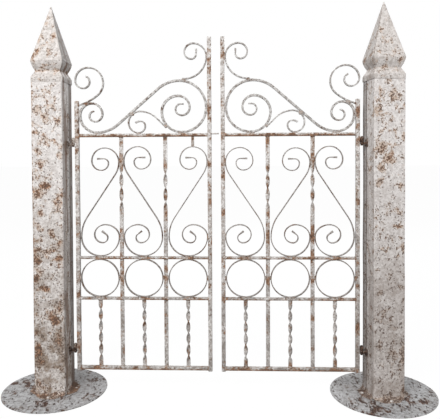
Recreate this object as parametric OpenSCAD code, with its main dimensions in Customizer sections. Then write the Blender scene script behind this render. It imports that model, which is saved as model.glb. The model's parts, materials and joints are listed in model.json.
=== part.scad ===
// Pair of wrought iron garden gate leaves, hung between two sheet metal posts.
// X runs along the gate, Y from front to back, Z up. The ground is at z = 0.
// Each leaf is drawn in its own plane: u is the distance from the middle of its
// hinge stile towards its free stile, z is the height above the ground.

/* [Posts] */
// Distance between the middles of the two posts
post_spacing = 1660; // [1580:5:2000]
// Width of a post's square shaft
post_w = 156; // [120:2:200]
// Height of the shaft's top edge under the cap's shoulder
shaft_top = 1588; // [1550:2:2000]
// Thickness of the folded sheet that posts and caps are made of
sheet_t = 2; // [1.5:0.5:4]
// Share of a shaft's depth that the front sheet laps over on the inner side
lap_share = 0.62; // [0.5:0.02:0.75]
// Turn of the left post about its own middle, in degrees
left_post_turn = 0; // [-9:1:9]
// Turn of the right post about its own middle, in degrees
right_post_turn = 8; // [-9:1:9]

/* [Base discs] */
// Diameter of the round plate that each post stands on
disc_d = 520; // [400:10:700]
// Thickness of the round plate
disc_t = 5; // [3:1:12]
// Length of the four tabs bent out at a shaft's foot
tab_l = 42; // [25:1:60]
// Outer radius of the bend between shaft and tab
tab_bend_r = 14; // [8:1:20]

/* [Post caps] */
// Height of the cap's straight skirt
skirt_h = 26; // [10:1:50]
// Width of the cap's neck
neck_w = 124; // [90:2:150]
// Height from the shoulder edge up to the neck
shoulder_h = 30; // [15:1:60]
// Width of the spire at its widest
spire_w = 160; // [130:2:200]
// Height from the neck up to the widest part of the spire
flare_h = 50; // [25:1:90]
// Height of the spire's pyramid
spire_h = 287; // [200:1:400]

/* [Leaf frame] */
// Clear gap between the free stiles of the two closed leaves
meeting_gap = 47; // [30:1:80]
// Side of the square stiles
stile_w = 20; // [16:1:30]
// Gap between a post's face and the hinge stile
stile_gap = 38.5; // [34:0.5:60]
// Height of the lower ends of the stiles
stile_foot = 104; // [90:2:140]
// Height of the hinge stile's upper end over the middle of the top rail
hinge_stile_rise = 174; // [150:1:240]
// Height of the free stile's upper end over the middle of the top rail
free_stile_rise = 489; // [450:1:600]
// Height of the middle of the bottom rail
bottom_rail_z = 118; // [116:1:160]
// Height of the middle of the rail under the rings
ring_rail_z = 473; // [380:1:560]
// Height of the middle of the rail under the panel scrolls
scroll_rail_z = 680; // [600:1:800]
// Height of the middle of the top rail
top_rail_z = 1299; // [1100:1:1560]
// Thickness of the top and bottom rails
edge_rail_t = 17; // [8:1:22]
// Thickness of the two rails between them
mid_rail_t = 12; // [8:1:16]
// Depth of all rails, from front to back
rail_d = 20; // [14:1:30]

/* [Flat bars] */
// Width of the flat upright bars
bar_w = 20; // [14:1:26]
// Thickness of the flat upright bars
bar_t = 6; // [4:0.5:10]
// Room round a bar in the slots of the rails
slot_gap = 0.3; // [0.2:0.1:1]
// Length of bar in each half turn of the long bars' twist
long_twist = 71; // [40:1:90]
// Length of bar in each half turn of the short bars' twist
short_twist = 58; // [40:1:90]
// Height of the long bars' twist above the scroll rail
twist_rise = 238; // [150:2:260]
// Untwisted length of the long bars under the top rail
twist_drop = 152; // [80:2:200]
// Untwisted length at each end of a short bar
short_plain = 26; // [6:1:40]

/* [Panel scrolls and rings] */
// Thickness of the strip in the panel scrolls and rings
strip_t = 5; // [4:0.5:8]
// Thickness of the hammered tips of all scrolls but the large crest scroll
tip_t = 9.5; // [4:0.5:12]
// Length over which a scroll thickens to its tip
tip_l = 28; // [10:1:40]
// Depth of the strip in all scrolls and rings, from front to back
strip_d = 16; // [10:1:20]
// Gap from the leaning side of a panel scroll to the nearest upright
scroll_side_gap = 4; // [2:0.5:8]
// Gaps from the left leaf's panel scrolls to its top rail, counted from the hinge
left_scroll_gaps = [52, 46, 48]; // [30:1:80]
// Gaps from the right leaf's panel scrolls to its top rail, counted from the hinge
right_scroll_gaps = [49, 56, 53]; // [30:1:80]
// Radius of the outer turn of a panel scroll's upper end
scroll_top_r = 72; // [55:1:80]
// Radius of the bend under a panel scroll's straight part
scroll_low_bend_r = 180; // [80:5:220]
// Radius of the bend over a panel scroll's straight part
scroll_high_bend_r = 115; // [80:5:180]
// Gap between a ring and the upright on each side
ring_side_gap = 3; // [1:0.5:8]
// Width of the short stub over the last panel scroll of the left leaf
stub_w = 14; // [8:1:20]
// Depth of the short stub
stub_d = 12; // [8:1:16]

/* [Crest] */
// Thickness of the large crest scroll
crest_t = 12; // [8:1:16]
// Thickness of the large crest scroll at its tips
crest_tip_t = 7; // [4:0.5:8]
// Length over which the large crest scroll thins to each tip
crest_taper = 260; // [100:10:400]
// Radius of the large crest scroll where it meets the free stile
crest_r = 123; // [110:1:140]
// Radius of the large crest scroll over its top
crest_top_r = 135; // [120:1:150]
// Radius of the large crest scroll's outer turn by the hinge stile
crest_end_r = 87; // [70:1:95]
// Radius of the bends at both ends of the large crest scroll's straight part
crest_bend_r = 160; // [80:5:200]
// Thickness of the small scroll and of the curls
curl_t = 7.5; // [5:0.5:10]

/* [Latch peg] */
// Diameter of the peg on the left leaf's free stile
peg_d = 7; // [5:1:14]
// Height of the peg over the middle of the top rail
peg_rise = 6; // [-100:1:100]
// Clear gap between the peg's end and the other leaf's stile
peg_end_gap = 10; // [6:1:20]

/* [Hinges] */
// Diameter of the hinge pins
pin_d = 12; // [8:1:14]
// Room round a pin in its eye, on the radius
pin_gap = 0.3; // [0.2:0.1:0.6]
// Outer diameter of the hinge eyes
eye_d = 20; // [17:1:24]
// Height of a hinge eye
eye_h = 23; // [16:1:40]
// Height of the lower end of the lower hinge eye
lower_eye_z = 212; // [180:2:300]
// Depth of the upper hinge eye's lower end under the middle of the top rail
upper_eye_drop = 39; // [30:1:300]
// Height of a pintle's arm under its eye
arm_h = 12; // [8:1:20]
// Depth of a pintle's arm, from front to back
arm_d = 10; // [6:1:12]
// Length that a pin stands out past its eye and below its arm
pin_end = 6; // [3:1:12]
// Height of a pintle's plate
plate_h = 36; // [24:2:60]
// Width of a pintle's plate
plate_w = 30; // [20:2:50]
// Thickness of a pintle's plate
plate_t = 5; // [3:1:6]

/* [Hidden] */

// Sides of the gate: the left leaf and post are at negative X.
left = -1;
right = 1;
// Curved pieces stop this far short of what they are welded to.
seat = 0.2;
// Greatest turn between two points along a curve, in degrees.
arc_step = 7.5;
// Points round a ring's outline.
ring_points = 64;
// Steps in each half turn of a twisted bar.
twist_steps = 6;
// Bays between the uprights of a leaf.
bays = 3;

// Colours of the pieces.
sheet_colour = [0.70, 0.68, 0.66];
bar_colour = [0.78, 0.76, 0.73];
scroll_colour = [0.74, 0.71, 0.68];
rust_colour = [0.52, 0.40, 0.32];

post_x = post_spacing / 2;
post_half = post_w / 2;
stile_x = post_x - post_half - stile_gap - stile_w / 2;
// Distance between the middles of a leaf's two stiles.
leaf_w = stile_x - (meeting_gap + stile_w) / 2;
hinge_stile_top = top_rail_z + hinge_stile_rise;
free_stile_top = top_rail_z + free_stile_rise;
upper_eye_z = top_rail_z - upper_eye_drop;
// The eyes are welded against the hinge stile, so the hinge line is half an eye from it.
hinge_x = stile_x + stile_w / 2 + eye_d / 2;
bar_pitch = leaf_w / bays;
top_rail_under = top_rail_z - edge_rail_t / 2;
top_rail_over = top_rail_z + edge_rail_t / 2;
scroll_rail_over = scroll_rail_z + mid_rail_t / 2;
scroll_rail_under = scroll_rail_z - mid_rail_t / 2;
ring_rail_over = ring_rail_z + mid_rail_t / 2;
ring_rail_under = ring_rail_z - mid_rail_t / 2;
bottom_rail_over = bottom_rail_z + edge_rail_t / 2;
// Faces of the uprights on both sides of bay i, counted from the hinge.
function bay_near(i) = i == 0 ? stile_w / 2 : i * bar_pitch + bar_w / 2;
function bay_far(i) = i == bays - 1 ? leaf_w - stile_w / 2 : (i + 1) * bar_pitch - bar_w / 2;
function bay_middle(i) = (bay_near(i) + bay_far(i)) / 2;

// ---- Curves ----
// A curve is walked from a start [u, z, heading] along parts [radius, turn], where a
// turn to the left is positive, or [0, length] for a straight part.
function part_length(part) = part[0] == 0 ? part[1] : part[0] * abs(part[1]) * PI / 180;
function parts_length(parts, i = 0) =
    i == len(parts) ? 0 : part_length(parts[i]) + parts_length(parts, i + 1);

// Place and heading after a distance share t of one part.
function along(at, part, t) =
    part[0] == 0
    ? [at[0] + t * part[1] * cos(at[2]), at[1] + t * part[1] * sin(at[2]), at[2]]
    : let (side = sign(part[1]), to = at[2] + t * part[1])
      [at[0] + side * part[0] * (sin(to) - sin(at[2])),
       at[1] - side * part[0] * (cos(to) - cos(at[2])),
       to];

// Points [u, z, heading, distance to the tip] along the parts. A welded end has no tip,
// so `spare` is added to all distances to it.
function walk(at, parts, spare = 0, i = 0) =
    i == len(parts)
    ? [[at[0], at[1], at[2], spare]]
    : let (part = parts[i],
           steps = part[0] == 0 ? 1 : ceil(abs(part[1]) / arc_step),
           left_over = parts_length(parts, i) + spare)
      concat(
          [for (k = [0 : steps - 1])
              let (p = along(at, part, k / steps))
              [p[0], p[1], p[2], left_over - k / steps * part_length(part)]],
          walk(along(at, part, 1), parts, spare, i + 1));

// One curve through a start, walked ahead along one list and back along another.
function two_way(at, ahead, back, spare_ahead = 0, spare_back = 0) =
    let (behind = walk([at[0], at[1], at[2] + 180], back, spare_back))
    concat(
        [for (k = [len(behind) - 1 : -1 : 1])
            [behind[k][0], behind[k][1], behind[k][2] - 180, behind[k][3]]],
        walk(at, ahead, spare_ahead));

// Half of the strip's thickness at a distance from its tip.
function half_at(d, full, tip, taper) = (tip + (full - tip) * min(1, d / taper)) / 2;

// Outline of a strip that follows a curve.
function strip_outline(path, full, tip, taper) = concat(
    [for (p = path)
        let (h = half_at(p[3], full, tip, taper))
        [p[0] - h * sin(p[2]), p[1] + h * cos(p[2])]],
    [for (k = [len(path) - 1 : -1 : 0])
        let (p = path[k], h = half_at(p[3], full, tip, taper))
        [p[0] + h * sin(p[2]), p[1] - h * cos(p[2])]]);

// Turn, straight length and two radii of an S shaped run: it starts and ends with the
// same heading and has gone `ahead` along it and `aside` across it. Its two bends have
// the wanted radii, or smaller ones where the run leaves no room for them.
function s_run(ahead, aside, first_r, second_r) =
    let (room = 0.95 * (ahead * ahead + aside * aside) / (2 * aside),
         fit = min(1, room / (first_r + second_r)),
         both = fit * (first_r + second_r),
         reach = sqrt(pow(aside - both, 2) + ahead * ahead),
         turn = acos(-both / reach) - atan2(ahead, aside - both))
    [turn, aside * sin(turn) + ahead * cos(turn) - both * sin(turn), fit * first_r, fit * second_r];

// A flat piece of the leaf, drawn in u and z, with its depth centred on the leaf.
module upright_sheet(depth) {
    translate([0, depth / 2, 0])
        rotate([90, 0, 0])
            linear_extrude(depth)
                children();
}

// Puts a piece drawn in u and z in its leaf.
module on_leaf(side) {
    mirror([side == right ? 1 : 0, 0, 0])
        translate([-stile_x, 0, 0])
            children();
}

// A scrolled strip along a curve.
module strip(path, full, tip, taper) {
    upright_sheet(strip_d)
        polygon(strip_outline(path, full, tip, taper));
}

// ---- Posts ----
module at_post(side) {
    translate([side * post_x, 0, 0])
        rotate([0, 0, side == left ? left_post_turn : right_post_turn])
            children();
}

module base_disc(side) {
    color(sheet_colour)
        translate([side * post_x, 0, 0])
            cylinder(d = disc_d, h = disc_t, $fn = 96);
}

// Bent foot of one wall: a quarter bend and a flat tab with cut corners.
module foot_tab() {
    outer = tab_bend_r;
    inner = tab_bend_r - sheet_t;
    lap = sheet_t;
    bend_x = post_half - sheet_t + outer;
    flat_end = post_half + tab_l;
    bend_z = disc_t + outer;
    profile = concat(
        [[post_half - sheet_t, bend_z + lap], [post_half - sheet_t, bend_z]],
        [for (a = [15 : 15 : 75]) [bend_x - outer * cos(a), bend_z - outer * sin(a)]],
        [[bend_x, disc_t], [flat_end, disc_t], [flat_end, disc_t + sheet_t]],
        [for (a = [90 : -15 : 15]) [bend_x - inner * cos(a), bend_z - inner * sin(a)]],
        [[post_half, bend_z], [post_half, bend_z + lap]]);
    intersection() {
        translate([0, post_half, 0])
            rotate([90, 0, 0])
                linear_extrude(post_w)
                    polygon(profile);
        linear_extrude(bend_z + 2 * lap)
            polygon([
                [post_half - 2 * sheet_t, -post_half],
                [post_half, -post_half],
                [flat_end, tab_l - post_half],
                [flat_end, post_half - tab_l],
                [post_half, post_half],
                [post_half - 2 * sheet_t, post_half]
            ]);
    }
}

// Hollow shaft. Its inner side wall is two sheets thick where the front sheet laps over.
module post_shaft(side) {
    foot_z = disc_t + tab_bend_r;
    lap_y = -post_half + lap_share * post_w;
    inner_half = post_half - sheet_t;
    color(sheet_colour)
        at_post(side)
            mirror([side == right ? 1 : 0, 0, 0]) {
                translate([0, 0, foot_z])
                    linear_extrude(shaft_top - skirt_h - foot_z)
                        difference() {
                            polygon([
                                [-post_half, -post_half],
                                [post_half, -post_half],
                                [post_half, lap_y],
                                [inner_half, lap_y],
                                [inner_half, post_half],
                                [-post_half, post_half]
                            ]);
                            polygon([
                                [-inner_half, -inner_half],
                                [inner_half - sheet_t, -inner_half],
                                [inner_half - sheet_t, inner_half],
                                [-inner_half, inner_half]
                            ]);
                        }
                for (a = [0 : 90 : 270])
                    rotate([0, 0, a])
                        foot_tab();
            }
}

// Hollow square cap: skirt, sloping shoulder, neck, flare and pyramid.
module post_cap(side) {
    diagonal = sqrt(2);
    skirt_half = post_half + 1;
    neck_half = neck_w / 2;
    spire_half = spire_w / 2;
    skirt_z = shaft_top - skirt_h;
    neck_z = shaft_top + shoulder_h;
    flare_z = neck_z + flare_h;
    wall = sheet_t;
    // Rounded lower part of the spire: shares of its height and of its growth in width.
    flare_curve = [[0.38, 0.54], [0.72, 0.86]];
    flare_over = spire_half - neck_half;
    // The wall is thicker, measured level, where it slopes.
    tip_z = flare_z + spire_h;
    inner_share = 1.4;
    inner_tip_z = tip_z - inner_share * wall * spire_h / spire_half;
    color(sheet_colour)
        at_post(side)
            rotate([0, 0, 45])
                rotate_extrude($fn = 4)
                    polygon(concat(
                        [[(skirt_half - wall) * diagonal, skirt_z],
                         [skirt_half * diagonal, skirt_z],
                         [skirt_half * diagonal, shaft_top],
                         [neck_half * diagonal, neck_z]],
                        [for (c = flare_curve)
                            [(neck_half + c[1] * flare_over) * diagonal, neck_z + c[0] * flare_h]],
                        [[spire_half * diagonal, flare_z],
                         [0, tip_z],
                         [0, inner_tip_z],
                         [(spire_half - inner_share * wall) * diagonal, flare_z]],
                        [for (k = [len(flare_curve) - 1 : -1 : 0])
                            let (c = flare_curve[k])
                            [(neck_half + c[1] * flare_over - inner_share * wall) * diagonal,
                             neck_z + c[0] * flare_h]],
                        [[(neck_half - wall) * diagonal, neck_z],
                         [(skirt_half - wall) * diagonal, shaft_top - wall]]));
}

// ---- Leaf frame ----
module stile(side, u, top) {
    color(bar_colour)
        on_leaf(side)
            translate([u - stile_w / 2, -stile_w / 2, stile_foot])
                cube([stile_w, stile_w, top - stile_foot]);
}

// A rail between the stiles. Slots let the two long bars through where wanted.
module rail(side, z, thickness, slotted) {
    slot_w = bar_w + 2 * slot_gap;
    slot_t = bar_t + 2 * slot_gap;
    color(bar_colour)
        on_leaf(side)
            difference() {
                translate([stile_w / 2, -rail_d / 2, z - thickness / 2])
                    cube([leaf_w - stile_w, rail_d, thickness]);
                if (slotted)
                    for (i = [1 : bays - 1])
                        translate([i * bar_pitch - slot_w / 2, -slot_t / 2, z - thickness])
                            cube([slot_w, slot_t, 2 * thickness]);
            }
}

// ---- Flat bars ----
// Corners of a bar's section at one height, turned about its middle.
function bar_section(z, turn) =
    let (w = bar_w / 2, t = bar_t / 2)
    [for (c = [[-w, -t], [w, -t], [w, t], [-w, t]])
        [c[0] * cos(turn) - c[1] * sin(turn), c[0] * sin(turn) + c[1] * cos(turn), z]];

// A flat bar from foot to head that is twisted by whole half turns between two heights.
module twisted_bar(foot, head, twist_foot, twist_head, twist_length) {
    half_turns = max(1, round((twist_head - twist_foot) / twist_length));
    steps = half_turns * twist_steps;
    heights = concat(
        [foot],
        [for (k = [0 : steps]) twist_foot + (twist_head - twist_foot) * k / steps],
        [head]);
    turns = concat([0], [for (k = [0 : steps]) 180 * half_turns * k / steps], [180 * half_turns]);
    last = len(heights) - 1;
    points = [for (k = [0 : last]) each bar_section(heights[k], turns[k])];
    sides = [for (k = [0 : last - 1]) for (c = [0 : 3])
        let (a = 4 * k + c, b = 4 * k + (c + 1) % 4)
        each [[a, a + 4, b + 4], [a, b + 4, b]]];
    polyhedron(
        points,
        concat([[0, 1, 2, 3]], sides, [[4 * last + 3, 4 * last + 2, 4 * last + 1, 4 * last]]));
}

// The long bars pass through the two middle rails.
module long_bars(side) {
    color(bar_colour)
        on_leaf(side)
            for (i = [1 : bays - 1])
                translate([i * bar_pitch, 0, 0])
                    twisted_bar(
                        bottom_rail_over, top_rail_under,
                        scroll_rail_over + twist_rise, top_rail_under - twist_drop,
                        long_twist);
}

module short_bars(side) {
    color(bar_colour)
        on_leaf(side)
            for (i = [0 : bays - 1])
                translate([bay_middle(i), 0, 0])
                    twisted_bar(
                        bottom_rail_over, ring_rail_under,
                        bottom_rail_over + short_plain, ring_rail_under - short_plain,
                        short_twist);
}

// ---- Rings and panel scrolls ----
function oval(half_w, half_h) =
    [for (k = [0 : ring_points - 1])
        [half_w * cos(360 * k / ring_points), half_h * sin(360 * k / ring_points)]];

module rings(side) {
    half_h = (scroll_rail_under - ring_rail_over) / 2 - seat;
    middle_z = (scroll_rail_under + ring_rail_over) / 2;
    color(scroll_colour)
        on_leaf(side)
            for (i = [0 : bays - 1]) {
                half_w = (bay_far(i) - bay_near(i)) / 2 - ring_side_gap;
                translate([bay_middle(i), 0, middle_z])
                    upright_sheet(strip_d)
                        difference() {
                            polygon(oval(half_w, half_h));
                            polygon(oval(half_w - strip_t, half_h - strip_t));
                        }
            }
}

// Inner turns of a scroll: each one's share of the outer radius, and its angle.
lower_turns = [[0.57, 45], [0.80, 45], [0.62, 45], [0.47, 45], [0.43, 90], [0.265, 90], [0.21, 52]];
upper_turns = [[0.90, 90], [0.67, 90], [0.50, 90], [0.31, 90]];
// Straight last bits of a panel scroll's tips.
lower_tip = 28;
upper_tip = 34;

// Height of the middle of the strip where the scroll in bay i is highest.
function scroll_top_z(side, i) =
    top_rail_under - (side == left ? left_scroll_gaps : right_scroll_gaps)[i] - strip_t / 2;

// Curve of the scroll in bay i, from the lower tip to the upper one. It leans to the
// far side; its foot stands on the scroll rail and its far side is on the upright.
function panel_scroll_path(side, i) =
    let (near = bay_near(i) + scroll_side_gap + strip_t / 2,
         far = bay_far(i) - seat - strip_t / 2,
         lower_r = (far - near) / 2,
         foot_z = scroll_rail_over + seat + strip_t / 2,
         run = s_run(
             scroll_top_z(side, i) - scroll_top_r - foot_z - lower_r, far - near,
             scroll_low_bend_r, scroll_high_bend_r),
         ahead = concat(
             [[run[2], -run[0]], [0, run[1]], [run[3], run[0]], [scroll_top_r, 90]],
             [for (turn = upper_turns) [turn[0] * scroll_top_r, turn[1]]],
             [[0, upper_tip]]),
         back = concat(
             [[lower_r, 180]],
             [for (turn = lower_turns) [turn[0] * lower_r, turn[1]]],
             [[0, lower_tip]]))
    two_way([near, foot_z + lower_r, 90], ahead, back);

// The middle bay's scroll is turned over left to right.
module panel_scroll(side, i) {
    path = panel_scroll_path(side, i);
    color(scroll_colour)
        on_leaf(side)
            if (i % 2 == 1)
                translate([2 * bay_middle(i), 0, 0])
                    mirror([1, 0, 0])
                        strip(path, strip_t, tip_t, tip_l);
            else
                strip(path, strip_t, tip_t, tip_l);
}

// Stub of bar between the top rail and the scroll in the last bay.
module top_stub(side) {
    last = bays - 1;
    foot_z = scroll_top_z(side, last) + strip_t / 2 + seat;
    middle_u = bay_far(last) - seat - strip_t / 2 - scroll_top_r;
    color(rust_colour)
        on_leaf(side)
            translate([middle_u - stub_w / 2, -stub_d / 2, foot_z])
                cube([stub_w, stub_d, top_rail_under - foot_z]);
}

// ---- Crest ----
// The large crest scroll rests on the top rail at both ends and leans on both stiles.
crest_foot_z = top_rail_over + seat + crest_t / 2;
crest_foot_u = leaf_w - stile_w / 2 - seat - crest_t / 2 - crest_r;
crest_top_u = crest_foot_u + crest_r - crest_top_r;
crest_side_z = crest_foot_z + crest_r;
crest_end_u = stile_w / 2 + seat + crest_t / 2;
// Radius of the quarter turn next to the foot, on the hinge side.
crest_inner_r = 100;
// Inner quarter turns of the end by the free stile and of the end by the hinge stile.
crest_free_turns = [82, 58, 40, 31, 26];
crest_hinge_turns = [60, 54, 38, 28, 24];
crest_free_tip = 15;

// Turn, straight length and bend radius of the arm between its two ends.
crest_run = s_run(
    crest_top_u - crest_end_u - crest_end_r, crest_r + crest_top_r,
    crest_bend_r, crest_bend_r);

crest_path =
    let (run = crest_run,
         ahead = concat(
             [[crest_r, 90], [crest_top_r, 90]],
             [[run[2], run[0]], [0, run[1]], [run[3], -run[0]], [crest_end_r, -90]],
             [for (r = crest_hinge_turns) [r, -90]]),
         back = concat(
             [[crest_inner_r, -90]],
             [for (r = crest_free_turns) [r, -90]],
             [[0, crest_free_tip]]))
    two_way([crest_foot_u, crest_foot_z, 0], ahead, back);

module crest_scroll(side) {
    color(scroll_colour)
        on_leaf(side)
            strip(crest_path, crest_t, crest_tip_t, crest_taper);
}

// Small scroll that stands on the top rail. It leans on the large scroll's inner turn
// with its end, and on the straight part above it with its back.
small_side_r = 50;
small_fall_r = 120;
small_fall = 45;
small_tip_parts = [[34, 90], [24, 90], [45, 35]];

small_path =
    let (touch = crest_inner_r + (crest_t + curl_t) / 2 + seat,
         end_u = crest_foot_u - touch * sin(small_fall),
         end_z = crest_foot_z + crest_inner_r - touch * cos(small_fall),
         foot_z = top_rail_over + seat + curl_t / 2,
         middle_z = foot_z + small_side_r,
         bend_drop = small_fall_r * (1 - cos(small_fall)),
         bend_run = small_fall_r * sin(small_fall),
         // The back's middle lies this far along, less the radius of the back.
         middle_u = end_u - (middle_z - bend_drop - end_z) / tan(small_fall) - bend_run,
         arm_u = crest_top_u - crest_run[2] * sin(crest_run[0]),
         arm_z = crest_side_z + crest_top_r - crest_run[2] * (1 - cos(crest_run[0])),
         room = (middle_u - arm_u) * sin(crest_run[0]) - (middle_z - arm_z) * cos(crest_run[0]),
         back_r = (room - (crest_t + curl_t) / 2 - seat)
             / (1 + sin(crest_run[0]) / tan(small_fall)),
         straight = (middle_z + back_r - bend_drop - end_z) / sin(small_fall),
         back_u = middle_u - back_r / tan(small_fall))
    two_way(
        [back_u - back_r + small_side_r, foot_z, 180],
        [[small_side_r, -90], [back_r, -90], [small_fall_r, -small_fall], [0, straight]],
        small_tip_parts, tip_l);

module small_scroll(side) {
    color(scroll_colour)
        on_leaf(side)
            strip(small_path, curl_t, tip_t, tip_l);
}

// Curl that leaves the top of the large scroll and leans on the free stile.
free_curl_lead = 6;
free_curl_parts = [[66, 90], [44, 90], [34, 90], [25, 90], [0, 26]];

free_curl_path =
    let (touch = crest_top_r + crest_t / 2 + seat + curl_t / 2,
         start_u = crest_top_u + touch * sin(free_curl_lead),
         start_z = crest_side_z + touch * cos(free_curl_lead),
         lean_u = leaf_w - stile_w / 2 - seat - curl_t / 2,
         r = (lean_u - start_u) / (1 + sin(free_curl_lead)))
    two_way(
        [lean_u, start_z + r * cos(free_curl_lead), 90],
        free_curl_parts,
        [[r, -90 - free_curl_lead]],
        0, tip_l);

module free_curl(side) {
    color(scroll_colour)
        on_leaf(side)
            strip(free_curl_path, curl_t, tip_t, tip_l);
}

// Curl that leaves the hinge stile, rests on the large scroll and turns over the stile.
hinge_curl_rise = 15;
hinge_curl_r = 250;
hinge_curl_parts = [[hinge_curl_r, 25], [80, 50], [78, 90], [64, 90], [40, 90], [33, 90], [28, 70]];

hinge_curl_path =
    let (end_turn_r = crest_hinge_turns[0],
         touch = hinge_curl_r + end_turn_r + crest_t / 2 + seat + curl_t / 2,
         start_u = stile_w / 2 + seat + curl_t / 2 * sin(hinge_curl_rise),
         across = crest_end_u + end_turn_r - start_u + hinge_curl_r * sin(hinge_curl_rise),
         start_z = crest_foot_z + crest_end_r + sqrt(touch * touch - across * across)
             - hinge_curl_r * cos(hinge_curl_rise))
    walk([start_u, start_z, hinge_curl_rise], hinge_curl_parts);

module hinge_curl(side) {
    color(scroll_colour)
        on_leaf(side)
            strip(hinge_curl_path, curl_t, tip_t, tip_l);
}

// ---- Latch peg ----
// A round peg that stands out of the free stile towards the other leaf.
module latch_peg(side) {
    color(bar_colour)
        on_leaf(side)
            translate([leaf_w + stile_w / 2, 0, top_rail_z + peg_rise])
                rotate([0, 90, 0])
                    cylinder(d = peg_d, h = meeting_gap - peg_end_gap, $fn = 32);
}

// ---- Hinges ----
eye_heights = [lower_eye_z, upper_eye_z];
// Room between an eye and the arm that it rides on.
arm_gap = 0.5;
// Radius of the arm's round end under the eye.
arm_end_r = pin_d / 2 + 2;

module hinge_eyes(side) {
    lug_t = eye_d / 2;
    color(rust_colour)
        on_leaf(side)
            for (z = eye_heights)
                translate([-stile_w / 2 - eye_d / 2, 0, z])
                    difference() {
                        union() {
                            cylinder(d = eye_d, h = eye_h, $fn = 48);
                            translate([0, -lug_t / 2, 0])
                                cube([eye_d / 2, lug_t, eye_h]);
                        }
                        translate([0, 0, -1])
                            cylinder(r = pin_d / 2 + pin_gap, h = eye_h + 2, $fn = 48);
                    }
}

// Pintles: a plate on the post's inner face, an arm and an upright pin on the hinge line.
module pintles(side) {
    turn = side == left ? left_post_turn : -right_post_turn;
    reach = post_x - hinge_x;
    pin_x = reach * cos(turn);
    pin_y = -reach * sin(turn);
    color(rust_colour)
        mirror([side == right ? 1 : 0, 0, 0])
            translate([-post_x, 0, 0])
                rotate([0, 0, turn])
                    for (z = eye_heights) {
                        arm_top = z - arm_gap;
                        translate([0, pin_y, 0])
                            union() {
                                translate([post_half, -plate_w / 2, arm_top - arm_h / 2 - plate_h / 2])
                                    cube([plate_t, plate_w, plate_h]);
                                translate([post_half, -arm_d / 2, arm_top - arm_h])
                                    cube([pin_x - post_half, arm_d, arm_h]);
                                translate([pin_x, 0, arm_top - arm_h])
                                    cylinder(r = arm_end_r, h = arm_h, $fn = 48);
                                translate([pin_x, 0, arm_top - arm_h - pin_end])
                                    cylinder(d = pin_d, h = arm_h + arm_gap + eye_h + 2 * pin_end, $fn = 48);
                            }
                    }
}

base_disc(left);  // left_base_disc
post_shaft(left);  // left_post_shaft
post_cap(left);  // left_post_cap
pintles(left);  // left_pintles
base_disc(right);  // right_base_disc
post_shaft(right);  // right_post_shaft
post_cap(right);  // right_post_cap
pintles(right);  // right_pintles

stile(left, 0, hinge_stile_top);  // left_hinge_stile
stile(left, leaf_w, free_stile_top);  // left_free_stile
rail(left, top_rail_z, edge_rail_t, false);  // left_top_rail
rail(left, scroll_rail_z, mid_rail_t, true);  // left_scroll_rail
rail(left, ring_rail_z, mid_rail_t, true);  // left_ring_rail
rail(left, bottom_rail_z, edge_rail_t, false);  // left_bottom_rail
long_bars(left);  // left_long_bars
short_bars(left);  // left_short_bars
rings(left);  // left_rings
panel_scroll(left, 0);  // left_panel_scroll_1
panel_scroll(left, 1);  // left_panel_scroll_2
panel_scroll(left, 2);  // left_panel_scroll_3
crest_scroll(left);  // left_crest_scroll
small_scroll(left);  // left_small_scroll
free_curl(left);  // left_free_curl
hinge_curl(left);  // left_hinge_curl
hinge_eyes(left);  // left_hinge_eyes
top_stub(left);  // left_top_stub
latch_peg(left);  // left_latch_peg

stile(right, 0, hinge_stile_top);  // right_hinge_stile
stile(right, leaf_w, free_stile_top);  // right_free_stile
rail(right, top_rail_z, edge_rail_t, false);  // right_top_rail
rail(right, scroll_rail_z, mid_rail_t, true);  // right_scroll_rail
rail(right, ring_rail_z, mid_rail_t, true);  // right_ring_rail
rail(right, bottom_rail_z, edge_rail_t, false);  // right_bottom_rail
long_bars(right);  // right_long_bars
short_bars(right);  // right_short_bars
rings(right);  // right_rings
panel_scroll(right, 0);  // right_panel_scroll_1
panel_scroll(right, 1);  // right_panel_scroll_2
panel_scroll(right, 2);  // right_panel_scroll_3
crest_scroll(right);  // right_crest_scroll
small_scroll(right);  // right_small_scroll
free_curl(right);  // right_free_curl
hinge_curl(right);  // right_hinge_curl
hinge_eyes(right);  // right_hinge_eyes
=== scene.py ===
import json
import math
import random

import bpy
from mathutils import Matrix, Vector
from mathutils.bvhtree import BVHTree


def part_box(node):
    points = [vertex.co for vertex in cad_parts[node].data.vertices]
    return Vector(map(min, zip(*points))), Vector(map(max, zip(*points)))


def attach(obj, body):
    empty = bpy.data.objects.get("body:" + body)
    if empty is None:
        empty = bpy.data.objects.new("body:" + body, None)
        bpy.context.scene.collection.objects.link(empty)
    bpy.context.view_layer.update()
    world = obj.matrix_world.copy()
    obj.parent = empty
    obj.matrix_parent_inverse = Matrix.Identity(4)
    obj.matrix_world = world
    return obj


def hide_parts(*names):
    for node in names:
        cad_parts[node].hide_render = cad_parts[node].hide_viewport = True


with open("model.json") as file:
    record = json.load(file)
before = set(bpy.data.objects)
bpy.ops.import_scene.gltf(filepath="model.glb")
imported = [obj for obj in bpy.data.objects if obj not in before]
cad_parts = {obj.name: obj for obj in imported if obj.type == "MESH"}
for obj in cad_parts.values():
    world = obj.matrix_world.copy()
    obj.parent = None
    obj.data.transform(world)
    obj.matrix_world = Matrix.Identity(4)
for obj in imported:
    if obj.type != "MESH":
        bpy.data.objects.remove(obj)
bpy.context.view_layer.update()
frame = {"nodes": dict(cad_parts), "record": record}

print("stage: gate loaded,", len(frame["nodes"]), "nodes")

# The camera stands in front of the gate, a little above its middle.
view = {
    "place": (0.1188, -2.7268, 1.2202),
    "yaw": -2.1,  # degrees, towards the right when positive
    "pitch": 1.38,  # degrees, downwards
    "roll": -0.28,
    "lens": 44.52,
    "sensor": 36,
    "shiftY": -0.1042,
}


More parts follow.
